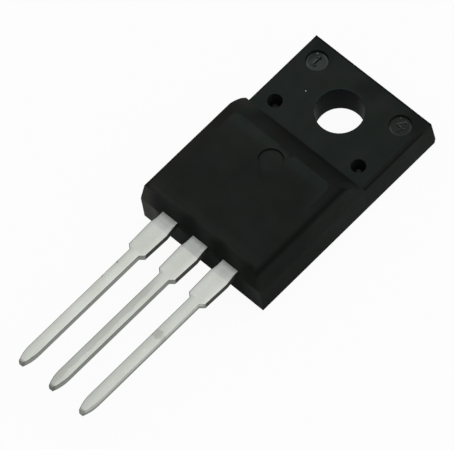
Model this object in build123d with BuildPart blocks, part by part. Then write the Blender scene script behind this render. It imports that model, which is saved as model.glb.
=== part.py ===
"""Voltage regulator in a fully moulded, three-lead power package.

Millimetres.  The origin is the centre of the mounting hole on the flat back face.  +X runs
across the package, +Y towards the end of the tab and +Z out of the front face, so the package
lies on its back and the leads run along -Y.
"""
import os

from build123d import *

# Package outline, measured from the mounting hole
hole_radius = 1.6
hole_to_tab_end = 3.33  # at the tab's parting line
hole_to_step = 3.17  # foot of the step between tab and body
hole_to_crest = 5.05  # where the step reaches the front face
hole_to_body_end = 12.8  # at the body's parting line
body_thickness = 4.5
tab_thickness = 2.45
tab_parting_height = 0.5  # parting line of the tab, above the back face
parting_width = 10.12  # widest, along both parting lines
back_width = 10.09
front_width = 9.43
tab_front_width = 9.68
end_draft = 0.15  # how far each drafted end leans in from its parting line to its face
tab_end_draft = 0.16
tab_back_draft = 0.06
step_bulge = 0.2  # how far the step's slope bows outwards from a straight line
front_edge_radius = 0.28  # along both sides and the end
slope_edge_radius = 0.1  # along the crest and down both sides of the step's slope
tab_edge_radius = 0.22

# Marks that the mould leaves in the front
pin_hole_radius = 0.5  # holes of the pins that hold the heat spreader while it is moulded in
pin_hole_x = 3.53
pin_hole_y = -2.13
tab_ejector_radius = 0.75
tab_ejector_y = 1.78
tab_ejector_depth = 0.18
body_ejector_radius = 0.84
body_ejector_y = -6.25
body_ejector_depth = 0.1

# Lead frame, stamped from one sheet and cut apart after moulding
lead_pitch = 2.54
lead_thickness = 0.52
lead_underside = 2.45  # above the back face; the body's parting plane
lead_neck_width = 1.23  # where the lead leaves the body
lead_dam_width = 1.48  # widest, where the dam bar was cut away
lead_shoulder_width = 1.36
lead_pin_width = 0.79
lead_tip_width = 0.28
neck_length = 1.05
dam_length = 1.95
shoulder_length = 0.25
pin_length = 9.0
tip_length = 1.17
lead_edge_radius = 0.07  # rounded by the punch on the front side

# Heat spreader and bonding posts, inside the package
back_insulation = 0.68  # epoxy between the heat spreader and the back face
side_insulation = 0.85
spreader_hole_wall = 0.9  # epoxy between the mounting hole and the heat spreader
spreader_top_y = -0.9
spreader_bottom_y = -9.9
spreader_corner_radius = 0.4
rise_run = 1.25  # length over which the ground lead rises from the spreader to the lead plane
bend_radius = 0.25
post_width = 2.0
post_length = 1.4
post_depth = 0.75  # epoxy between the body's end and the bonding posts
post_corner_radius = 0.3
post_lock_radius = 0.25  # hole that keys the post into the epoxy
post_lock_offset = 0.5

# Chip and its wires
die_width = 2.4
die_length = 2.0
die_thickness = 0.3
die_y = -7.3
solder_thickness = 0.06
solder_margin = 0.12
wire_radius = 0.125
wire_sides = 8  # flats round the wire
wire_seat = 0.1  # height of the wire's centre above what it is bonded to
wire_foot = 0.35
wire_loop = 0.85  # rise of the loop above its higher foot
wire_bend_radius = 0.4
pad_x = 0.75
signal_pad_y = die_y - 0.55
ground_pad_y = die_y + 0.45
ground_wire_reach = 1.75
post_bond_inset = 0.35

spreader_front = back_insulation + lead_thickness
lead_top = lead_underside + lead_thickness
die_base = spreader_front + solder_thickness
die_top = die_base + die_thickness
post_y = post_depth + post_length / 2 - hole_to_body_end


def package_section(width, top_y, bottom_y):
    """A level slice of the package, drawn in the sketch that calls it."""
    with Locations((0, (top_y + bottom_y) / 2)):
        Rectangle(width, top_y - bottom_y)


def lead_outline():
    """Plan of a lead outside the body, its centre line on the Y axis."""
    root_y = -hole_to_body_end
    dam_y = root_y - neck_length
    shoulder_y = dam_y - dam_length
    pin_y = shoulder_y - shoulder_length
    taper_y = pin_y - pin_length
    tip_y = taper_y - tip_length
    with BuildSketch() as outline:
        with BuildLine():
            Polyline(
                (0, root_y + post_depth),
                (lead_neck_width / 2, root_y + post_depth),
                (lead_neck_width / 2, root_y),
                (lead_dam_width / 2, dam_y),
                (lead_shoulder_width / 2, shoulder_y),
                (lead_pin_width / 2, pin_y),
                (lead_pin_width / 2, taper_y),
            )
            TangentArc((lead_pin_width / 2, taper_y), (lead_tip_width / 2, tip_y), tangent=(0, -1))
            Line((lead_tip_width / 2, tip_y), (0, tip_y))
            mirror(about=Plane.YZ)
        make_face()
    return outline.sketch


def round_punched_edges(lead):
    """Round the front edges of a lead outside the body."""
    front = lead.faces().filter_by(Axis.Z).sort_by(Axis.Z)[-1]
    outside = [edge for edge in front.edges() if edge.center().Y < -hole_to_body_end]
    fillet(outside, lead_edge_radius)


def make_outer_lead(side):
    """Input or output lead: a pin outside and a bonding post inside; side is -1 or 1."""
    with BuildPart() as lead:
        with BuildSketch(Plane((side * lead_pitch, 0, lead_underside))):
            add(lead_outline())
            with Locations((0, post_y)):
                post = Rectangle(post_width, post_length)
                fillet(post.vertices(), post_corner_radius)
            with Locations((side * post_lock_offset, post_y)):
                Circle(post_lock_radius, mode=Mode.SUBTRACT)
        extrude(amount=lead_thickness)
        round_punched_edges(lead)
    return lead


def make_wire(start, end, seats):
    """Bond wire between two points on bonded faces, its feet pressed flat on the seats."""
    run = Vector(end) - Vector(start)
    rise = run.Z
    level_run = Vector(run.X, run.Y, 0)
    reach = level_run.length
    loop_top = max(rise, 0) + wire_loop
    wire_plane = Plane(origin=start, x_dir=level_run, z_dir=level_run.cross(Vector(0, 0, 1)))
    with BuildPart() as wire:
        with BuildLine(wire_plane) as route:
            FilletPolyline(
                (0, wire_seat),
                (wire_foot, wire_seat),
                (wire_foot + (reach - 2 * wire_foot) / 3, loop_top),
                (reach - wire_foot, rise + wire_seat),
                (reach, rise + wire_seat),
                radius=wire_bend_radius,
            )
        with BuildSketch(Plane(origin=route.line @ 0, z_dir=route.line % 0)):
            RegularPolygon(wire_radius, wire_sides)
        sweep()
        add(seats, mode=Mode.SUBTRACT)
    return wire


# Moulded body: a front and a rear half about the parting plane of the leads, and the tab
with BuildPart() as rear_half:
    with BuildSketch():
        package_section(back_width, -hole_to_step, end_draft - hole_to_body_end)
    with BuildSketch(Plane.XY.offset(lead_underside)):
        package_section(parting_width, -hole_to_step, -hole_to_body_end)
    loft(ruled=True)

with BuildPart() as front_half:
    with BuildSketch(Plane.XY.offset(lead_underside)):
        package_section(parting_width, -hole_to_step, -hole_to_body_end)
    with BuildSketch(Plane.XY.offset(body_thickness)):
        package_section(front_width, -hole_to_step, end_draft - hole_to_body_end)
    loft(ruled=True)
    with BuildSketch(Plane.YZ):
        foot = (-hole_to_step, lead_underside)
        crest = (-hole_to_crest, body_thickness)
        margin = 1.0  # by which the cut passes the body
        clear_y = margin - hole_to_step
        clear_z = margin + body_thickness
        with BuildLine():
            SagittaArc(crest, foot, step_bulge)
            Polyline(foot, (clear_y, foot[1]), (clear_y, clear_z), (crest[0], clear_z), crest)
        make_face()
    extrude(amount=parting_width, both=True, mode=Mode.SUBTRACT)
    front_face = front_half.faces().sort_by(Axis.Z)[-1]
    fillet(front_face.edges().sort_by(Axis.Y)[:-1], front_edge_radius)
    slope = front_half.faces().sort_by(Axis.Y)[-1]
    fillet(slope.edges().sort_by(Axis.Z)[1:], slope_edge_radius)

with BuildPart() as tab:
    with BuildSketch():
        package_section(back_width, hole_to_tab_end - tab_back_draft, -hole_to_crest)
    with BuildSketch(Plane.XY.offset(tab_parting_height)):
        package_section(parting_width, hole_to_tab_end, -hole_to_crest)
    loft(ruled=True)
    with BuildSketch(Plane.XY.offset(tab_parting_height)):
        package_section(parting_width, hole_to_tab_end, -hole_to_crest)
    with BuildSketch(Plane.XY.offset(tab_thickness)):
        package_section(tab_front_width, hole_to_tab_end - tab_end_draft, -hole_to_crest)
    loft(ruled=True)
    tab_front = tab.faces().sort_by(Axis.Z)[-1]
    tab_rim = tab_front.edges().sort_by(Axis.Y)[1:]
    fillet(tab_rim, tab_edge_radius)

# Lead frame: pins 1 and 3 with their bonding posts, pin 2 in one piece with the heat spreader
lead_input = make_outer_lead(-1)
lead_output = make_outer_lead(1)

with BuildPart() as lead_ground:
    with BuildSketch(Plane.XY.offset(lead_underside)):
        add(lead_outline())
    extrude(amount=lead_thickness)
    round_punched_edges(lead_ground)
    with BuildSketch(Plane.YZ):
        with BuildLine():
            FilletPolyline(
                (spreader_bottom_y + rise_run, back_insulation),
                (spreader_bottom_y, back_insulation),
                (spreader_bottom_y - rise_run, lead_underside),
                (-hole_to_body_end, lead_underside),
                radius=[bend_radius + lead_thickness, bend_radius],
            )
            offset(amount=lead_thickness, side=Side.RIGHT, kind=Kind.INTERSECTION, closed=True)
        make_face()
    extrude(amount=lead_neck_width / 2, both=True)
    with BuildSketch(Plane.XY.offset(back_insulation)):
        with Locations((0, (spreader_top_y + spreader_bottom_y) / 2)):
            spreader = Rectangle(
                parting_width - 2 * side_insulation, spreader_top_y - spreader_bottom_y
            )
            fillet(spreader.vertices(), spreader_corner_radius)
        Circle(hole_radius + spreader_hole_wall, mode=Mode.SUBTRACT)
    extrude(amount=lead_thickness)

# Chip, soldered to the heat spreader
with BuildPart() as die_attach:
    with BuildSketch(Plane.XY.offset(spreader_front)):
        with Locations((0, die_y)):
            Rectangle(die_width + 2 * solder_margin, die_length + 2 * solder_margin)
    extrude(amount=solder_thickness)

with BuildPart() as silicon_die:
    with BuildSketch(Plane.XY.offset(die_base)):
        with Locations((0, die_y)):
            Rectangle(die_width, die_length)
    extrude(amount=die_thickness)

# Bond wires: chip to the two outer leads, and chip to the heat spreader
post_bond_y = post_y + post_length / 2 - post_bond_inset
bond_wire_input = make_wire(
    (-pad_x, signal_pad_y, die_top),
    (-lead_pitch, post_bond_y, lead_top),
    [silicon_die.part, lead_input.part],
)
bond_wire_output = make_wire(
    (pad_x, signal_pad_y, die_top),
    (lead_pitch, post_bond_y, lead_top),
    [silicon_die.part, lead_output.part],
)
bond_wire_ground = make_wire(
    (0, ground_pad_y, die_top),
    (0, ground_pad_y + ground_wire_reach, spreader_front),
    [silicon_die.part, lead_ground.part],
)

inserts = {
    "lead_input": lead_input,
    "lead_ground": lead_ground,
    "lead_output": lead_output,
    "die_attach": die_attach,
    "silicon_die": silicon_die,
    "bond_wire_input": bond_wire_input,
    "bond_wire_ground": bond_wire_ground,
    "bond_wire_output": bond_wire_output,
}

# The epoxy is moulded round the whole lead frame, so its cavity is that of the inserts
with BuildPart() as moulded_body:
    add([rear_half.part, front_half.part, tab.part])
    with Locations((0, 0, tab_thickness)):
        Hole(hole_radius)
    with Locations(*[(side * pin_hole_x, pin_hole_y, tab_thickness) for side in (-1, 1)]):
        Hole(pin_hole_radius, depth=tab_thickness - spreader_front)
    with Locations(*[(side * pin_hole_x, tab_ejector_y, tab_thickness) for side in (-1, 1)]):
        Hole(tab_ejector_radius, depth=tab_ejector_depth)
    with Locations((0, body_ejector_y, body_thickness)):
        Hole(body_ejector_radius, depth=body_ejector_depth)
    add([insert.part for insert in inserts.values()], mode=Mode.SUBTRACT)

os.makedirs("parts", exist_ok=True)
for name, piece in {"moulded_body": moulded_body, **inserts}.items():
    piece.part.label = name
    export_step(piece.part, f"parts/{name}.step")
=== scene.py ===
import math

import bmesh
import bpy
from mathutils import Matrix, Vector


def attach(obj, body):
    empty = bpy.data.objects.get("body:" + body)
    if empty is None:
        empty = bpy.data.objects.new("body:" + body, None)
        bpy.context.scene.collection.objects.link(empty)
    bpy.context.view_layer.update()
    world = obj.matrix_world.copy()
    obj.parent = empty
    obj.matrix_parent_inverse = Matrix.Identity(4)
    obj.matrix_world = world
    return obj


# A three-lead voltage regulator: the looks of its CAD parts, two raised numerals, and the stage
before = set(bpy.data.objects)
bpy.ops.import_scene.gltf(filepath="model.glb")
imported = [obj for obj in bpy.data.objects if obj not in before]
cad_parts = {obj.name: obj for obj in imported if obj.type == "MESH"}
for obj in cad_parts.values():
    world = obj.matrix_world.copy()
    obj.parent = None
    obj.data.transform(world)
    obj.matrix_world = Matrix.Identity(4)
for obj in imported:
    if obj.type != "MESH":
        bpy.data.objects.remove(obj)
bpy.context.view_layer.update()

MM = 0.001

# The camera looks down on the front face from beside the lead end
CAMERA_TARGET = Vector((0.17, -10.56, 2.25)) * MM
CAMERA_DISTANCE = 367.3 * MM
CAMERA_AZIMUTH = math.radians(-43.27)
CAMERA_ELEVATION = math.radians(61.40)
CAMERA_ROLL = math.radians(-4.47)
CAMERA_LENS = 469.7
CAMERA_CLIP_START = 0.01
SENSOR_WIDTH = 36.0

# The floor lies a hair below the part's back face, so that the two never share a plane
FLOOR_SIZE = 0.6
FLOOR_GAP = 0.01 * MM
FLOOR_GLOW_SHARE = 0.94

# Light
SOFTBOX_SIZE = 1.2
SOFTBOX_POWER = 2.0
SOFTBOX_AZIMUTH = math.radians(60)
SOFTBOX_ELEVATION = math.radians(78)
SOFTBOX_DISTANCE = 0.8
SKY_BRIGHT_DIRECTION = Vector((0.1, 0.15, 0.98)).normalized()
SKY_DIM_STRENGTH = 0.1
SKY_BRIGHT_STRENGTH = 0.8
SKY_DIM_COSINE = 0.2
SKY_BRIGHT_COSINE = 0.95

# Places on the part, in millimetres from the centre of the mounting hole on the back face;
# the two sides are where the draft ends, at the front
BODY_FRONT = 4.5
BODY_END = -12.8
BODY_SIDE = 4.72
CREST = -5.05
STEP_FOOT = -3.17
TAB_FRONT = 2.45
TAB_SIDE = 4.84
TAB_END = 3.33
PARTING_PLANE = 2.45
HOLE_RADIUS = 1.6
BODY_EJECTOR = Vector((0.0, -6.25))
BODY_EJECTOR_RADIUS = 0.84
TAB_EJECTOR = Vector((3.53, 1.78))
TAB_EJECTOR_RADIUS = 0.75
TAB_EJECTOR_FLOOR = 2.27
PIN_HOLE = Vector((3.53, -2.13))
LEAD_PITCH = 2.54
LEAD_SHOULDER = -15.8
LEAD_TIP = -26.22

# Marks on the epoxy, in the same millimetres; a line is its two ends
PANEL_CORNER = Vector((3.5, CREST - 0.55))
PANEL_RADIUS = 0.5
PANEL_EDGE = 0.05
PANEL_NOTCH = ((0.6, -4.9), (0.78, -5.75))
PANEL_DIP = ((-0.4, -5.1), (1.0, -5.1))
FLOW_LINE = ((-0.74, -6.5), (0.35, -7.65))
DUST_SPECK = (-2.56, -0.33)
DUST_RADIUS = 0.03

# Repeated marks on the epoxy, the painted light and shade that follow the leads and the dark
# patches on the tab: where one of them is across the part, and how far apart they are
LEAD_LIGHT_X = 0.4
TAB_PATCH_X = 0.3
TAB_PATCH_PITCH = 3.9

# Painted light within each of the tab's ejector marks, from its centre: the shift of a painted
# highlight ring and the place of a painted glint
EJECTOR_LIT_RING_SHIFT = Vector((0.03, -0.03))
EJECTOR_GLINT = Vector((-0.4, 0.48))

# Marks on the tin, in the same millimetres
NICK_LINE = ((-3.0, -17.1), (-2.78, -17.3))
NICK_DOT = (-2.86, -18.6)
SCUFF_START = -19.0
SCUFF_END = -19.5
# Where the painted glint lies on the heat spreader in each pin hole
PIN_GLINT = (-0.22, PIN_HOLE.y + 0.21)

# Directions in plan, each towards the side of a mark with its own painted shade and painted
# highlights
SHADED_CRESCENT_SIDE = (-0.66, 0.75)
HOLE_LIT_RIM_SIDE = (-0.73, 0.68)
EJECTOR_LIT_RING_SIDE = Vector((1.0, -0.9)).normalized()
EJECTOR_GLOOM_SIDE = (-0.93, 0.36)

# The raised numerals' strokes: ridges with one foot further out, both in half widths
RIDGE_HALF_WIDTH = 0.09
RIDGE_HEIGHT = 0.08
RIDGE_NEAR_FOOT = 0.8
RIDGE_FAR_FOOT = 1.8

# Gloss, tones and colours
EPOXY_GLOSS = 0.08
EJECTOR_GLINT_TONE = 2.2
EPOXY_GREEN = (0.0142, 0.0174, 0.0146, 1)
EPOXY_GREY = (0.0156, 0.0163, 0.0161, 1)
EPOXY_TEAL = (0.0134, 0.0174, 0.0161, 1)
EPOXY_BROWN = (0.0160, 0.0163, 0.0146, 1)
EPOXY_WARM = (0.0163, 0.0166, 0.0143, 1)
EPOXY_DEEP = (0.0095, 0.0178, 0.0190, 1)
EPOXY_RAISED = (0.0142, 0.0168, 0.0154)
DUST_WHITE = (0.55, 0.55, 0.52, 1)
TIN_WARM = (0.572, 0.59, 0.54, 1)
TIN_COOL = (0.568, 0.59, 0.551, 1)
TIN_NECK = (0.571, 0.589, 0.565, 1)
SOLDER_GREY = (0.42, 0.42, 0.41)
SILICON_BLUE = (0.09, 0.10, 0.13)
ALUMINIUM = (0.75, 0.76, 0.77)
FLOOR_WHITE = (0.95, 0.95, 0.95, 1)


# ---------------------------------------------------------------- node helpers
class Graph:
    """The nodes of one material, measured in millimetres in the part's own frame."""

    def __init__(self, name):
        self.material = bpy.data.materials.new(name)
        self.material.use_nodes = True
        self.nodes = self.material.node_tree.nodes
        self.links = self.material.node_tree.links
        self.shader = self.nodes["Principled BSDF"]
        self.coordinates = self.nodes.new("ShaderNodeTexCoord")

    def feed(self, socket, value):
        """Link an input to another node's output, or set it."""
        if isinstance(value, bpy.types.NodeSocket):
            self.links.new(value, socket)
        else:
            socket.default_value = value

    def set(self, name, value):
        """Feed one input of the material's shader."""
        self.feed(self.shader.inputs[name], value)

    def math(self, operation, first, second=0.0):
        """One sum, product or other operation on numbers."""
        node = self.nodes.new("ShaderNodeMath")
        node.operation = operation
        self.feed(node.inputs[0], first)
        self.feed(node.inputs[1], second)
        return node.outputs["Value"]

    def split(self, vector, scale=1.0):
        """The three components of a vector, times a scale."""
        node = self.nodes.new("ShaderNodeSeparateXYZ")
        self.links.new(vector, node.inputs["Vector"])
        return [self.math("MULTIPLY", output, scale) for output in node.outputs]

    def place(self):
        """The point's x, y and z in millimetres."""
        return self.split(self.coordinates.outputs["Object"], 1 / MM)

    def facing(self):
        """The surface normal's x, y and z."""
        return self.split(self.coordinates.outputs["Normal"])

    def remap(self, value, low, high, to_low=0.0, to_high=1.0):
        """The value's span from low to high as a clamped span from to_low to to_high."""
        node = self.nodes.new("ShaderNodeMapRange")
        self.links.new(value, node.inputs["Value"])
        for name, number in (
            ("From Min", low), ("From Max", high), ("To Min", to_low), ("To Max", to_high),
        ):
            self.feed(node.inputs[name], number)
        return node.outputs["Result"]

    def both(self, *masks):
        """Where all the masks hold."""
        result = masks[0]
        for mask in masks[1:]:
            result = self.math("MULTIPLY", result, mask)
        return result

    def outside(self, mask):
        """Where a mask doesn't hold."""
        return self.math("SUBTRACT", 1.0, mask)

    def distance(self, x, y, centre):
        """How far a point is from a centre, in plan or in any other two coordinates."""
        across = self.math("POWER", self.math("SUBTRACT", x, centre[0]), 2.0)
        along = self.math("POWER", self.math("SUBTRACT", y, centre[1]), 2.0)
        return self.math("SQRT", self.math("ADD", across, along))

    def disc(self, x, y, centre, radius, soft=0.05):
        """A round mask."""
        return self.remap(self.distance(x, y, centre), radius + soft, radius - soft)

    def along(self, x, y, start, direction):
        """How far a point is from a start, measured in one direction."""
        first = self.math("MULTIPLY", self.math("SUBTRACT", x, start[0]), direction[0])
        second = self.math("MULTIPLY", self.math("SUBTRACT", y, start[1]), direction[1])
        return self.math("ADD", first, second)

    def stroke(self, x, y, ends, half_width, soft):
        """A straight line's mask."""
        start, end = Vector(ends[0]), Vector(ends[1])
        direction = (end - start).normalized()
        length = (end - start).length
        onward = self.along(x, y, start, direction)
        aside = self.math("ABSOLUTE", self.along(x, y, start, (-direction.y, direction.x)))
        return self.both(
            self.remap(aside, half_width + soft, half_width),
            self.remap(onward, 0.0, soft), self.remap(onward, length, length - soft),
        )

    def offset(self, value, pitch, first=0.0):
        """Signed distance from the nearest of lines a pitch apart, one of them at first."""
        shifted = self.math("ADD", value, pitch / 2 - first)
        return self.math("SUBTRACT", self.math("FLOORED_MODULO", shifted, pitch), pitch / 2)

    def noise(self, scale, detail=2.0, stretch=(1, 1, 1)):
        """Noise, its scale in features per millimetre."""
        mapping = self.nodes.new("ShaderNodeMapping")
        mapping.inputs["Scale"].default_value = [axis / MM for axis in stretch]
        texture = self.nodes.new("ShaderNodeTexNoise")
        texture.inputs["Scale"].default_value = scale
        texture.inputs["Detail"].default_value = detail
        self.links.new(self.coordinates.outputs["Object"], mapping.inputs["Vector"])
        self.links.new(mapping.outputs["Vector"], texture.inputs["Vector"])
        return texture.outputs["Fac"]

    def mix(self, share, first, second):
        """From one number to another."""
        return self.remap(share, 0.0, 1.0, first, second)

    def tint(self, colour, tone):
        """A colour times a number."""
        node = self.nodes.new("ShaderNodeVectorMath")
        node.operation = "SCALE"
        self.feed(node.inputs["Vector"], colour)
        self.feed(node.inputs["Scale"], tone)
        return node.outputs["Vector"]

    def blend(self, share, first, second):
        """From one colour to another."""
        node = self.nodes.new("ShaderNodeMixRGB")
        self.feed(node.inputs["Fac"], share)
        self.feed(node.inputs["Color1"], first)
        self.feed(node.inputs["Color2"], second)
        return node.outputs["Color"]

    def layer(self, tone, roughness, layers):
        """Where a layer's mask holds, multiply the tone and replace the roughness."""
        for mask, darker_or_lighter, own_roughness in layers:
            tone = self.math("MULTIPLY", tone, self.mix(mask, 1.0, darker_or_lighter))
            roughness = self.mix(mask, roughness, own_roughness)
        return tone, roughness

    def bump(self, height, strength, depth):
        """Relief of a depth in millimetres."""
        node = self.nodes.new("ShaderNodeBump")
        node.inputs["Strength"].default_value = strength
        node.inputs["Distance"].default_value = depth * MM
        self.links.new(height, node.inputs["Height"])
        self.set("Normal", node.outputs["Normal"])


# ---------------------------------------------------------------- epoxy
class EpoxyGraph(Graph):
    """The moulded body's nodes. Each list of layers holds rows of mask, tone and roughness."""

    def __init__(self, name):
        super().__init__(name)
        self.x, self.y, self.z = self.place()
        self.right, self.back, self.up = self.facing()
        self.aside = self.math("ABSOLUTE", self.x)
        self.level = self.remap(self.up, 0.97, 0.99)
        self.from_lead_light = self.math("ABSOLUTE", self.offset(self.x, LEAD_PITCH, LEAD_LIGHT_X))
        self.on_front = self.both(
            self.level, self.remap(self.z, BODY_FRONT - 0.03, BODY_FRONT - 0.01),
        )
        self.panel = self.crest_panel()
        self.slope = self.both(
            self.remap(self.up, 0.97, 0.9), self.remap(self.back, 0.3, 0.5),
            self.remap(self.z, TAB_FRONT + 0.01, TAB_FRONT + 0.03),
            self.remap(self.y, STEP_FOOT + 0.07, STEP_FOOT - 0.03),
        )
        self.tab_top = self.both(self.level, self.remap(self.y, STEP_FOOT - 0.02, STEP_FOOT))
        self.in_hole = self.disc(self.x, self.y, (0, 0), HOLE_RADIUS + 0.02, soft=0.01)

    def from_panel_corner(self):
        """Distance from the nearer of the centres of the crest panel's rounded corners."""
        return self.distance(
            self.math("MAXIMUM", self.math("SUBTRACT", self.aside, PANEL_CORNER.x), 0.0),
            self.math("MAXIMUM", self.math("SUBTRACT", self.y, PANEL_CORNER.y), 0.0), (0, 0),
        )

    def crest_panel(self):
        """The lighter panel of the front face along the crest and down its right side."""
        along_crest = self.remap(self.y, CREST - 1.0, CREST - 0.5)
        down_right = self.both(
            self.remap(self.x, 3.55, 3.9), self.remap(self.y, CREST - 3.0, CREST - 1.0),
        )
        within = self.remap(self.from_panel_corner(), PANEL_RADIUS + PANEL_EDGE, PANEL_RADIUS)
        notch = self.stroke(self.x, self.y, PANEL_NOTCH, half_width=0.08, soft=0.1)
        return self.both(
            self.on_front, self.math("MAXIMUM", along_crest, down_right), within,
            self.outside(notch),
        )

    def front_layers(self):
        """The body's front face: the panel, the ejector mark and what lies round them, with painted
        shade along the panel's edge and in a crescent on the ejector mark's far wall.
        """
        x, y, z = self.x, self.y, self.z
        # Painted shade along the edge of the panel's rounded corner and down its right side
        shaded_border = self.both(
            self.on_front,
            self.remap(self.from_panel_corner(), PANEL_RADIUS, PANEL_RADIUS + PANEL_EDGE),
            self.remap(y, -7.5, -6.5),
        )
        dip = self.both(
            self.on_front, self.stroke(x, y, PANEL_DIP, half_width=0.1, soft=0.12),
        )
        upper_left = self.both(
            self.on_front, self.remap(y, CREST - 2.2, CREST - 1.5), self.remap(x, 1.6, 0.6),
            self.remap(self.aside, 4.1, 4.02),
        )
        end_band = self.both(
            self.on_front, self.remap(y, BODY_END + 1.2, BODY_END + 0.8),
            self.remap(self.aside, 4.6, 4.3),
        )
        down_to_mark = self.remap(z, BODY_FRONT - 0.2, BODY_FRONT - 0.12)
        in_ejector = self.both(
            self.level, self.disc(x, y, BODY_EJECTOR, BODY_EJECTOR_RADIUS, soft=0.01),
            down_to_mark,
        )
        near_front = self.both(self.remap(self.up, 0.5, 0.6), down_to_mark)
        flow_line = self.both(
            near_front, self.stroke(x, y, FLOW_LINE, half_width=0.02, soft=0.07),
        )
        from_ejector = self.distance(x, y, BODY_EJECTOR)
        # Painted shade: a crescent on the far side of the ejector mark's wall
        shaded_crescent = self.both(
            near_front,
            self.remap(from_ejector, BODY_EJECTOR_RADIUS - 0.07, BODY_EJECTOR_RADIUS - 0.04),
            self.remap(from_ejector, BODY_EJECTOR_RADIUS + 0.04, BODY_EJECTOR_RADIUS + 0.02),
            self.remap(self.along(x, y, BODY_EJECTOR, SHADED_CRESCENT_SIDE), 0.0, 0.3),
        )
        return [
            (self.panel, 1.25, 0.8),
            (shaded_border, 0.85, 0.85),
            (dip, 0.68, 0.85),
            (upper_left, 1.12, 0.85),
            (in_ejector, 1.2, 0.85),
            (end_band, 1.18, 0.85),
            (flow_line, 0.75, 0.85),
            (shaded_crescent, 0.25, 0.9),
        ]

    def rim_layers(self):
        """The rounded rims of the front face, down the right side and along the lead end, with
        painted shade down the right side and in spots by the leads, and painted light along the end
        and at its input end.
        """
        x, y, z = self.x, self.y, self.z
        # Painted shade on the right rim, painted light on the end rim, painted shade in spots by
        # the leads, more painted light at the input end
        from_side = self.distance(x, z, (BODY_SIDE + 0.08, BODY_FRONT - 0.12))
        shaded_side_rim = self.both(self.remap(from_side, 0.44, 0.14), self.remap(y, -3.5, -4.5))
        from_end = self.distance(y, z, (BODY_END + 0.15, BODY_FRONT))
        end_rim_light_and_shade = self.both(
            self.remap(from_end, 0.35, 0.2), self.remap(self.aside, 4.5, 4.3),
        )
        shaded_rim_spots = self.both(
            end_rim_light_and_shade, self.remap(self.from_lead_light, 0.45, 1.15), self.remap(x, -2.2, -1.6),
        )
        lit_input_end = self.both(end_rim_light_and_shade, self.remap(x, -1.5, -3.2))
        return [
            (shaded_side_rim, 0.45, 0.95),
            (end_rim_light_and_shade, 1.28, 0.9),
            (shaded_rim_spots, 0.6, 0.95),
            (lit_input_end, 1.22, 0.9),
        ]

    def slope_layers(self):
        """The step's slope, with painted shade towards its foot and its right, painted light on its
        upper corners, and painted light again just above its foot.
        """
        # Painted shade down the slope and to its right, painted light on its upper corners and just
        # above its foot
        shade_down_the_slope = self.remap(self.z, 3.0, BODY_FRONT - 0.1, 0.42, 0.8)
        shade_to_the_right = self.remap(self.x, -2.5, 1.5, 1.12, 0.88)
        corners = self.both(
            self.slope, self.remap(self.z, BODY_FRONT - 0.1, BODY_FRONT - 1.2),
            self.remap(self.math("ABSOLUTE", self.math("SUBTRACT", self.x, 0.5)), 3.5, 4.5),
        )
        foot = self.both(self.slope, self.remap(self.z, 3.05, 2.6))
        return [
            (self.slope, shade_down_the_slope, 0.9),
            (self.slope, shade_to_the_right, 0.9),
            (corners, 2.3, 0.9),
            (foot, 1.75, 0.9),
        ]

    def tab_layers(self):
        """The tab's front, its rims darkened by painted shade, and the dark patches by its end."""
        x, y, z = self.x, self.y, self.z
        right_corner = self.both(self.tab_top, self.remap(self.math("ADD", x, y), 5.4, 6.6))
        # Painted shade on the tab's right rim and on its end rim
        shaded_side_rim = self.both(
            self.remap(self.distance(x, z, (TAB_SIDE + 0.12, TAB_FRONT - 0.23)), 0.2, 0.11),
            self.remap(y, STEP_FOOT, STEP_FOOT + 0.1), self.remap(y, 2.5, 2.2),
        )
        end_rim_light_and_shade = self.both(
            self.remap(y, TAB_END - 0.37, TAB_END - 0.31),
            self.remap(z, TAB_FRONT - 0.45, TAB_FRONT - 0.25),
        )
        from_patch = self.math("ABSOLUTE", self.offset(x, TAB_PATCH_PITCH, TAB_PATCH_X))
        end_patches = self.both(
            self.tab_top, self.remap(y, 1.5, 2.1), self.remap(from_patch, 1.2, 0.6),
            self.remap(z, TAB_FRONT - 0.05, TAB_FRONT - 0.02),
        )
        return [
            (self.tab_top, 1.28, 0.85),
            (right_corner, 0.9, 0.85),
            (shaded_side_rim, 0.28, 0.95),
            (end_rim_light_and_shade, 0.55, 0.95),
            (end_patches, 0.72, 0.85),
        ]

    def hole_layers(self):
        """The mounting hole's wall, under painted shade but for painted highlights on its flanks
        and its far rim.
        """
        # Painted shade over the hole's wall, painted highlights on its flanks and its far rim
        toward_lit_rim = self.along(self.x, self.y, (0, 0), HOLE_LIT_RIM_SIDE)
        rim = self.both(
            self.in_hole, self.remap(self.z, TAB_FRONT - 0.3, TAB_FRONT - 0.08),
            self.remap(toward_lit_rim, 0.7, 1.2),
        )
        flanks = self.both(self.in_hole, self.remap(toward_lit_rim, 1.15, 0.6))
        return [
            (self.in_hole, 0.1, 0.75),
            (flanks, 3.0, 0.64),
            (rim, 10.0, 0.8),
        ]

    def end_layers(self):
        """The end face, with painted reflections of the leads lighter over each lead, painted light
        at its two ends, and painted shadow under each lead.
        """
        x = self.x
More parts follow.
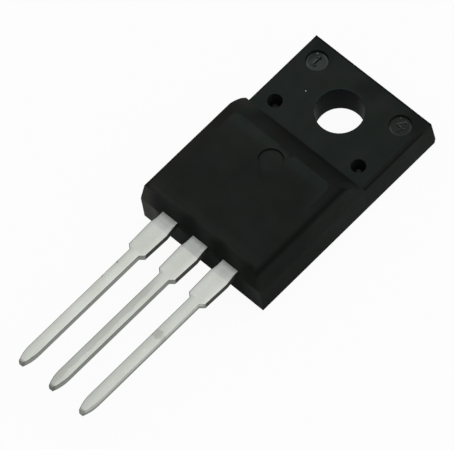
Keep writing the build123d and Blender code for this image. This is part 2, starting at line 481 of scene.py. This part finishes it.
        # Painted reflections of the leads above them, painted shadow under them, painted light at
        # the two ends
        end_face = self.both(
            self.remap(self.back, -0.9, -0.98), self.remap(self.y, -11.0, -12.0),
        )
        upper = self.remap(self.z, PARTING_PLANE - 0.02, PARTING_PLANE + 0.02)
        lower_face = self.both(end_face, self.outside(upper))
        lead_reflections = self.both(end_face, upper, self.remap(self.from_lead_light, 0.9, 0.1))
        shade_under_leads = self.both(lower_face, self.remap(self.from_lead_light, 0.7, 0.2))
        lit_input_end = self.both(end_face, self.remap(x, -2.2, -4.2))
        lit_input_side = self.both(lower_face, self.remap(x, -1.2, -1.9))
        lit_input_corner = self.both(lower_face, self.remap(x, -3.6, -3.8))
        lit_output_corner = self.both(lower_face, self.remap(x, 3.4, 5.0))
        return [
            (end_face, 0.8, 1.0),
            (lead_reflections, 2.0, 0.95),
            (shade_under_leads, 0.48, 1.0),
            (lit_input_end, 1.8, 0.9),
            (lit_input_side, 1.8, 0.85),
            (lit_input_corner, 1.3, 0.65),
            (lit_output_corner, 2.4, 0.9),
        ]

    def side_layers(self):
        """The two sides, with painted light towards the tab and painted shade on a corner near the
        tab's end.
        """
        y = self.y
        side = self.both(
            self.remap(self.math("ABSOLUTE", self.right), 0.9, 0.97), self.outside(self.in_hole),
        )
        # Painted light towards the tab, and painted shade on the corner below
        lit_past_middle = self.both(side, self.remap(y, -9.0, -5.5))
        lit_past_hole = self.both(side, self.remap(y, -0.5, 1.5))
        corner = self.both(side, self.remap(y, 2.1, 2.5), self.remap(self.z, 1.6, 2.0))
        return [
            (side, 1.0, 1.0),
            (lit_past_middle, 1.45, 1.0),
            (corner, 0.76, 1.0),
            (lit_past_hole, 1.2, 1.0),
        ]

    def tab_mark_layers(self, side, floor_tone, lit_ring_tone, lit_ring_reach, shade_tone, gloom_tone):
        """The ejector mark on one side of the tab: its floor, and painted light and painted shade
        round it.
        """
        x, y = self.x, self.y
        centre = Vector((side * TAB_EJECTOR.x, TAB_EJECTOR.y))
        floor = self.both(
            self.tab_top, self.remap(self.z, TAB_FRONT - 0.05, TAB_FRONT - 0.1),
            self.disc(x, y, centre, TAB_EJECTOR_RADIUS, soft=0.01),
        )
        toward_ring = self.along(x, y, centre, EJECTOR_LIT_RING_SIDE)
        from_ring_centre = self.distance(x, y, centre + EJECTOR_LIT_RING_SHIFT)
        # A painted highlight ring, painted shade in a crescent and over one side, and a painted
        # glint
        lit_ring = self.both(
            floor, self.remap(from_ring_centre, 0.56, 0.62),
            self.remap(from_ring_centre, 0.71, 0.69),
            self.remap(toward_ring, lit_ring_reach - 0.1, lit_ring_reach + 0.1),
        )
        shade = self.both(
            floor, self.remap(from_ring_centre, 0.71, 0.73), self.remap(toward_ring, 0.2, -0.1),
        )
        toward_gloom = self.along(x, y, centre, EJECTOR_GLOOM_SIDE)
        gloom = self.both(floor, self.remap(toward_gloom, 0.1, 0.5))
        glint = self.both(floor, self.disc(x, y, centre + EJECTOR_GLINT, radius=0.08, soft=0.02))
        return [
            (floor, floor_tone, 0.6),
            (lit_ring, lit_ring_tone, 0.6),
            (shade, shade_tone, 0.9),
            (gloom, gloom_tone, 0.6),
            (glint, EJECTOR_GLINT_TONE / gloom_tone, 0.6),
        ]

    def hue(self):
        """The black's mottled cast, from green and grey to teal, brown and blue."""
        teal_zone = self.math("MAXIMUM", self.math("MAXIMUM", self.tab_top, self.panel), self.slope)
        teal_noise = self.noise(scale=0.42, detail=2.0)
        teal = self.both(teal_zone, self.remap(teal_noise, 0.3, 0.6))
        brown_noise = self.noise(scale=0.9, detail=3.0)
        brown = self.both(self.slope, self.remap(brown_noise, 0.53, 0.64))
        left_edge = self.both(
            self.remap(self.x, -3.7, -4.4), self.remap(self.y, STEP_FOOT, STEP_FOOT - 0.2),
        )
        green_to_grey = self.remap(self.noise(scale=0.5, detail=3.0), 0.4, 0.6)
        hue = self.blend(green_to_grey, EPOXY_GREEN, EPOXY_GREY)
        for share, colour in (
            (teal, EPOXY_TEAL), (brown, EPOXY_BROWN), (left_edge, EPOXY_WARM),
            (self.in_hole, EPOXY_DEEP),
        ):
            hue = self.blend(share, hue, colour)
        return hue


def epoxy_material():
    """Black moulding epoxy, spark-eroded matt, with painted light and painted shade over most of
    its faces and a few real marks of the mould.
    """
    graph = EpoxyGraph("moulded_epoxy")
    graph.set("Specular IOR Level", EPOXY_GLOSS)
    mottling = graph.mix(graph.noise(scale=0.6, detail=4.0), 0.7, 1.3)
    # Painted shade: lighter on the left, darker on the right
    shade_left_to_right = graph.remap(graph.x, -5.0, 5.0, 1.06, 0.94)
    tone = graph.math("MULTIPLY", mottling, shade_left_to_right)
    roughness = graph.mix(graph.noise(scale=1.3, detail=3.0), 0.82, 0.9)
    tone, roughness = graph.layer(tone, roughness, (
        *graph.front_layers(), *graph.rim_layers(), *graph.slope_layers(), *graph.tab_layers(),
        *graph.hole_layers(), *graph.end_layers(), *graph.side_layers(),
        *graph.tab_mark_layers(
            -1, floor_tone=2.2, lit_ring_tone=1.8, lit_ring_reach=-0.54, shade_tone=0.1, gloom_tone=0.45,
        ),
        *graph.tab_mark_layers(
            1, floor_tone=1.35, lit_ring_tone=2.6, lit_ring_reach=-0.06, shade_tone=0.35, gloom_tone=0.9,
        ),
    ))
    from_speck = graph.distance(graph.x, graph.y, DUST_SPECK)
    speck = graph.both(graph.tab_top, graph.remap(from_speck, DUST_RADIUS * 1.5, DUST_RADIUS))
    colour = graph.blend(speck, graph.tint(graph.hue(), tone), DUST_WHITE)
    graph.set("Base Color", colour)
    graph.set("Roughness", roughness)
    graph.bump(graph.noise(scale=14.0, detail=4.0), strength=0.25, depth=0.004)
    return graph.material


def numeral_material(name, lit_side, lit_tone, shaded_tone):
    """The epoxy of a raised numeral, its strokes with a painted highlight on one flank and painted
    shade on the other.
    """
    graph = Graph(name)
    graph.set("Specular IOR Level", EPOXY_GLOSS)
    right, back, _ = graph.facing()
    # Painted highlight on the flanks that face the lit side, painted shade on the others
    toward_lit = graph.along(right, back, (0, 0), lit_side)
    flank = graph.remap(toward_lit, -0.1, 0.1, shaded_tone, lit_tone)
    wear = graph.mix(graph.noise(scale=3.0, detail=2.0), 0.9, 1.1)
    graph.set("Base Color", graph.tint(EPOXY_RAISED, graph.math("MULTIPLY", flank, wear)))
    graph.set("Roughness", graph.mix(graph.noise(scale=1.3, detail=3.0), 0.6, 0.75))
    return graph.material


# ---------------------------------------------------------------- metals and silicon
class TinGraph(Graph):
    """The leads' nodes. Each list of layers holds rows of mask, tone and roughness."""

    def __init__(self, name):
        super().__init__(name)
        self.x, self.y, self.z = self.place()
        self.right, _, self.up = self.facing()
        self.across = self.offset(self.x, LEAD_PITCH)
        self.wide = self.remap(self.y, LEAD_SHOULDER - 0.1, LEAD_SHOULDER)
        self.pin = self.outside(self.wide)
        self.input = self.remap(self.x, -LEAD_PITCH / 2, -LEAD_PITCH / 2 - 0.1)
        self.output = self.remap(self.x, LEAD_PITCH / 2, LEAD_PITCH / 2 + 0.1)
        self.ground = self.outside(self.math("ADD", self.input, self.output))
        self.on_top = self.remap(self.up, 0.5, 0.9)
        self.neck = self.both(self.remap(self.y, BODY_END - 0.97, BODY_END - 0.94), self.on_top)

    def wear_layers(self):
        """Bright specks, the dulled left half of the ground pin, nicks and a scuff."""
        x, y = self.x, self.y
        wander = self.mix(self.noise(scale=1.6, detail=3.0), -0.25, 0.15)
        worn_edge = self.math("ADD", self.across, wander)
        specks = self.remap(self.noise(scale=6.0, detail=2.0), 0.66, 0.7)
        wide_specks = self.both(specks, self.wide)
        pin_specks = self.both(
            specks, self.pin, self.remap(worn_edge, -0.05, 0.05), self.remap(worn_edge, 0.2, 0.1),
        )
        dull_half = self.both(
            self.remap(y, -16.2, -17.4), self.ground, self.remap(worn_edge, 0.05, 0.0),
        )
        nicks = self.math(
            "MAXIMUM", self.stroke(x, y, NICK_LINE, half_width=0.03, soft=0.05),
            self.disc(x, y, NICK_DOT, radius=0.05, soft=0.03),
        )
        ragged = self.math("ADD", y, self.mix(self.noise(scale=2.5, detail=3.0), -0.4, 0.4))
        scuff = self.both(
            self.output, self.remap(ragged, SCUFF_END - 0.05, SCUFF_END + 0.05),
            self.remap(ragged, SCUFF_START + 0.05, SCUFF_START - 0.05),
        )
        return [
            (wide_specks, 1.15, 0.35),
            (pin_specks, 1.25, 0.35),
            (self.both(self.pin, self.input), 1.07, 0.38),
            (dull_half, 0.9, 0.45),
            (nicks, 0.6, 0.5),
            (scuff, 0.86, 0.5),
        ]

    def edge_layers(self):
        """Across each lead, from its darker left edge to its lighter right one: painted shade and
        painted light.
        """
        # Painted shade on the left edges, painted light on the right ones
        wide_left = self.both(self.wide, self.remap(self.across, -0.4, -0.62))
        wide_right = self.both(self.wide, self.remap(self.across, 0.3, 0.6))
        pin_left = self.both(self.pin, self.remap(self.across, 0.0, -0.35))
        pin_right = self.both(self.pin, self.remap(self.across, 0.0, 0.25))
        return [
            (wide_left, 0.88, 0.4),
            (wide_right, 1.15, 0.4),
            (pin_left, 0.85, 0.4),
            (pin_right, 1.08, 0.4),
        ]

    def neck_layers(self):
        """The duller neck by the body, its root lightened with painted light, and painted shade on
        what lies inside the epoxy.
        """
        # Painted light on the root, painted shade on the metal inside the epoxy
        root = self.both(self.remap(self.y, BODY_END - 0.55, BODY_END - 0.05), self.on_top)
        ground_neck = self.both(
            self.neck, self.ground, self.remap(self.y, BODY_END - 0.4, BODY_END - 0.85),
        )
        blotches = self.mix(self.noise(scale=1.5, detail=3.0), 0.85, 1.0)
        inside = self.remap(self.y, BODY_END + 0.1, BODY_END + 0.3)
        return [
            (self.neck, blotches, 0.42),
            (ground_neck, 0.9, 0.42),
            (root, 1.6, 0.42),
            (inside, 0.12, 0.5),
        ]

    def cut_layers(self):
        """The cut sides, darkened by painted shade in place of darker reflections, nearly black on
        the wide part, less dark high on the output pin, and the darker tip.
        """
        y = self.y
        # Painted shade on the cut sides, darkest on the wide part's sides, less dark high on the
        # output pin
        shaded_cut_side = self.remap(self.up, 0.6, 0.3)
        shaded_wide_side = self.both(shaded_cut_side, self.remap(y, LEAD_SHOULDER, LEAD_SHOULDER + 0.1))
        darker_on_right = self.remap(self.right, -0.5, 0.5, 0.5, 0.15)
        less_shaded_output_pin = self.both(shaded_cut_side, self.pin, self.output, self.remap(self.z, 2.65, 2.8))
        toward_tip = self.remap(y, LEAD_TIP + 2.2, LEAD_TIP + 0.3)
        tip = self.remap(y, LEAD_TIP + 0.25, LEAD_TIP + 0.1)
        return [
            (shaded_cut_side, 0.36, 0.5),
            (less_shaded_output_pin, 2.1, 0.45),
            (shaded_wide_side, darker_on_right, 0.6),
            (toward_tip, 0.92, 0.4),
            (tip, 0.65, 0.5),
        ]

    def pin_hole_layers(self):
        """The heat spreader at the bottom of the pin holes, under painted shade but for one painted
        glint in each.
        """
        # Painted shade over the spreader in each pin hole, all but a painted glint
        across_hole = self.offset(self.x, 2 * PIN_HOLE.x, PIN_HOLE.x)
        glint = self.disc(across_hole, self.y, PIN_GLINT, radius=0.15, soft=0.04)
        under_tab = self.remap(self.y, STEP_FOOT + 0.17, STEP_FOOT + 0.27)
        return [(self.both(under_tab, self.outside(glint)), 0.2, 0.6)]


def tin_material():
    """Matt tin plate, drawn streaks along the leads, dull where it was soldered, with painted shade
    on its cut sides and painted light and shade on its edges, neck and pin holes.
    """
    graph = TinGraph("tin_plate")
    graph.set("Metallic", 1.0)
    streaks = graph.noise(scale=1.0, detail=4.0, stretch=(6, 0.5, 6))
    patches = graph.noise(scale=0.8, detail=3.0, stretch=(1, 0.6, 1))
    tone = graph.math(
        "MULTIPLY", graph.mix(streaks, 0.92, 1.08), graph.mix(patches, 0.9, 1.1),
    )
    roughness = graph.remap(streaks, 0.3, 0.7, 0.33, 0.42)
    tone, roughness = graph.layer(tone, roughness, (
        *graph.wear_layers(), *graph.edge_layers(), *graph.neck_layers(), *graph.cut_layers(),
        *graph.pin_hole_layers(),
    ))
    hue = graph.blend(graph.remap(patches, 0.42, 0.58), TIN_WARM, TIN_COOL)
    hue = graph.blend(graph.neck, hue, TIN_NECK)
    graph.set("Base Color", graph.tint(hue, tone))
    graph.set("Roughness", roughness)
    return graph.material


def grained_material(name, colour, grain, tones, roughnesses, metallic):
    """A plain material, its tone and roughness following one grain: its scale and detail."""
    graph = Graph(name)
    graph.set("Metallic", metallic)
    grain = graph.noise(*grain)
    graph.set("Base Color", graph.tint(colour, graph.mix(grain, *tones)))
    graph.set("Roughness", graph.mix(grain, *roughnesses))
    return graph.material


def set_slots(node_name, material):
    """Give a CAD node's every slot this material."""
    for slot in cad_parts[node_name].material_slots:
        slot.material = material


FINISHES = (
    (epoxy_material(), ("moulded_body",)),
    (tin_material(), ("lead_input", "lead_ground", "lead_output")),
    (
        grained_material("soft_solder", SOLDER_GREY, (6.0, 4.0), (0.85, 1.1), (0.4, 0.6), 1.0),
        ("die_attach",),
    ),
    (
        grained_material("silicon", SILICON_BLUE, (5.0, 2.0), (0.8, 1.2), (0.1, 0.2), 0.0),
        ("silicon_die",),
    ),
    (
        grained_material("aluminium_wire", ALUMINIUM, (8.0, 3.0), (0.9, 1.05), (0.25, 0.4), 1.0),
        ("bond_wire_input", "bond_wire_ground", "bond_wire_output"),
    ),
)
for finish, node_names in FINISHES:
    for node_name in node_names:
        set_slots(node_name, finish)


# ---------------------------------------------------------------- numerals
def add_numeral(name, centre, strokes, finish):
    """A plain numeral raised from an ejector mark's floor, each stroke a ridge with hipped ends."""
    mesh = bmesh.new()
    for start, end in strokes:
        start, end = centre + Vector(start), centre + Vector(end)
        onward = (end - start).normalized()
        aside = Vector((-onward.y, onward.x)) * RIDGE_HALF_WIDTH
        start, end = start - onward * RIDGE_HALF_WIDTH, end + onward * RIDGE_HALF_WIDTH
        feet = [
            mesh.verts.new((*(point * MM), TAB_EJECTOR_FLOOR * MM))
            for point in (
                start - aside * RIDGE_NEAR_FOOT, end - aside * RIDGE_NEAR_FOOT,
                end + aside * RIDGE_FAR_FOOT, start + aside * RIDGE_FAR_FOOT,
            )
        ]
        inset = onward * RIDGE_HALF_WIDTH
        near, far = [
            mesh.verts.new((*(point * MM), (TAB_EJECTOR_FLOOR + RIDGE_HEIGHT) * MM))
            for point in (start + inset, end - inset)
        ]
        mesh.faces.new((feet[0], feet[1], far, near))
        mesh.faces.new((feet[1], feet[2], far))
        mesh.faces.new((feet[2], feet[3], near, far))
        mesh.faces.new((feet[3], feet[0], near))
        mesh.faces.new(feet[::-1])
    data = bpy.data.meshes.new(name)
    mesh.to_mesh(data)
    mesh.free()
    numeral = bpy.data.objects.new(name, data)
    data.materials.append(finish)
    bpy.context.collection.objects.link(numeral)
    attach(numeral, "root")


add_numeral(
    "numeral_one", Vector((-TAB_EJECTOR.x, TAB_EJECTOR.y)),
    (
        ((-0.04, -0.33), (-0.04, 0.34)), ((-0.04, 0.34), (-0.18, 0.2)),
        ((-0.15, -0.35), (0.08, -0.35)),
    ),
    numeral_material("numeral_one_epoxy", lit_side=(-1, 0), lit_tone=5.5, shaded_tone=0.4),
)
add_numeral(
    "numeral_four", TAB_EJECTOR,
    (
        ((-0.2, -0.04), (0.12, 0.4)), ((-0.2, -0.07), (0.24, -0.07)),
        ((0.1, 0.15), (0.1, -0.32)),
    ),
    numeral_material("numeral_four_epoxy", lit_side=(-0.7, 0.7), lit_tone=4.0, shaded_tone=1.4),
)


# ---------------------------------------------------------------- stage
def floor_material():
    """Matt white, seen nearly white by the camera and in reflections, with a soft shadow."""
    graph = Graph("floor_white")
    graph.set("Base Color", FLOOR_WHITE)
    graph.set("Roughness", 0.9)
    glow = graph.nodes.new("ShaderNodeEmission")
    glow.inputs["Strength"].default_value = 1.0
    rays = graph.nodes.new("ShaderNodeLightPath")
    seen = graph.math("MAXIMUM", rays.outputs["Is Camera Ray"], rays.outputs["Is Glossy Ray"])
    seen = graph.math("MAXIMUM", seen, rays.outputs["Is Transmission Ray"])
    mix = graph.nodes.new("ShaderNodeMixShader")
    graph.links.new(graph.math("MULTIPLY", seen, FLOOR_GLOW_SHARE), mix.inputs["Fac"])
    graph.links.new(graph.shader.outputs["BSDF"], mix.inputs[1])
    graph.links.new(glow.outputs["Emission"], mix.inputs[2])
    graph.links.new(mix.outputs["Shader"], graph.nodes["Material Output"].inputs["Surface"])
    return graph.material


def add_floor():
    """A plain floor, a hair below the part's back face."""
    mesh = bpy.data.meshes.new("floor")
    half = FLOOR_SIZE / 2
    corners = [(-half, -half), (half, -half), (half, half), (-half, half)]
    mesh.from_pydata([(*corner, -FLOOR_GAP) for corner in corners], [], [(0, 1, 2, 3)])
    floor = bpy.data.objects.new("floor", mesh)
    floor.data.materials.append(floor_material())
    bpy.context.collection.objects.link(floor)


def bearing(azimuth, elevation):
    """The unit vector that points from the part in a direction."""
    return Vector((
        math.cos(elevation) * math.cos(azimuth),
        math.cos(elevation) * math.sin(azimuth),
        math.sin(elevation),
    ))


def add_softbox():
    """One large square soft box that faces the part from overhead."""
    data = bpy.data.lights.new("overhead_softbox", "AREA")
    data.size = SOFTBOX_SIZE
    data.energy = SOFTBOX_POWER
    light = bpy.data.objects.new("overhead_softbox", data)
    direction = bearing(SOFTBOX_AZIMUTH, SOFTBOX_ELEVATION)
    light.location = CAMERA_TARGET + direction * SOFTBOX_DISTANCE
    light.rotation_euler = direction.to_track_quat("Z", "Y").to_euler()
    bpy.context.collection.objects.link(light)


def set_world():
    """Plain white surroundings, brightest overhead and dim towards the horizon and below."""
    world = bpy.data.worlds.new("studio")
    bpy.context.scene.world = world
    world.use_nodes = True
    nodes, links = world.node_tree.nodes, world.node_tree.links
    coordinates = nodes.new("ShaderNodeTexCoord")
    nearness = nodes.new("ShaderNodeVectorMath")
    nearness.operation = "DOT_PRODUCT"
    nearness.inputs[1].default_value = SKY_BRIGHT_DIRECTION
    links.new(coordinates.outputs["Generated"], nearness.inputs[0])
    strength = nodes.new("ShaderNodeMapRange")
    strength.inputs["From Min"].default_value = SKY_DIM_COSINE
    strength.inputs["From Max"].default_value = SKY_BRIGHT_COSINE
    strength.inputs["To Min"].default_value = SKY_DIM_STRENGTH
    strength.inputs["To Max"].default_value = SKY_BRIGHT_STRENGTH
    links.new(nearness.outputs["Value"], strength.inputs["Value"])
    nodes["Background"].inputs["Color"].default_value = (1, 1, 1, 1)
    links.new(strength.outputs["Result"], nodes["Background"].inputs["Strength"])


def add_camera():
    """The camera, placed by its direction and distance from the target, and rolled."""
    data = bpy.data.cameras.new("camera")
    data.lens = CAMERA_LENS
    data.sensor_width = SENSOR_WIDTH
    data.clip_start = CAMERA_CLIP_START
    camera = bpy.data.objects.new("camera", data)
    direction = bearing(CAMERA_AZIMUTH, CAMERA_ELEVATION)
    aim = direction.to_track_quat("Z", "Y").to_matrix().to_4x4()
    place = Matrix.Translation(CAMERA_TARGET + direction * CAMERA_DISTANCE)
    camera.matrix_world = place @ aim @ Matrix.Rotation(CAMERA_ROLL, 4, "Z")
    bpy.context.collection.objects.link(camera)
    bpy.context.scene.camera = camera


add_floor()
add_softbox()
set_world()
add_camera()
bpy.context.scene.view_settings.view_transform = "Standard"
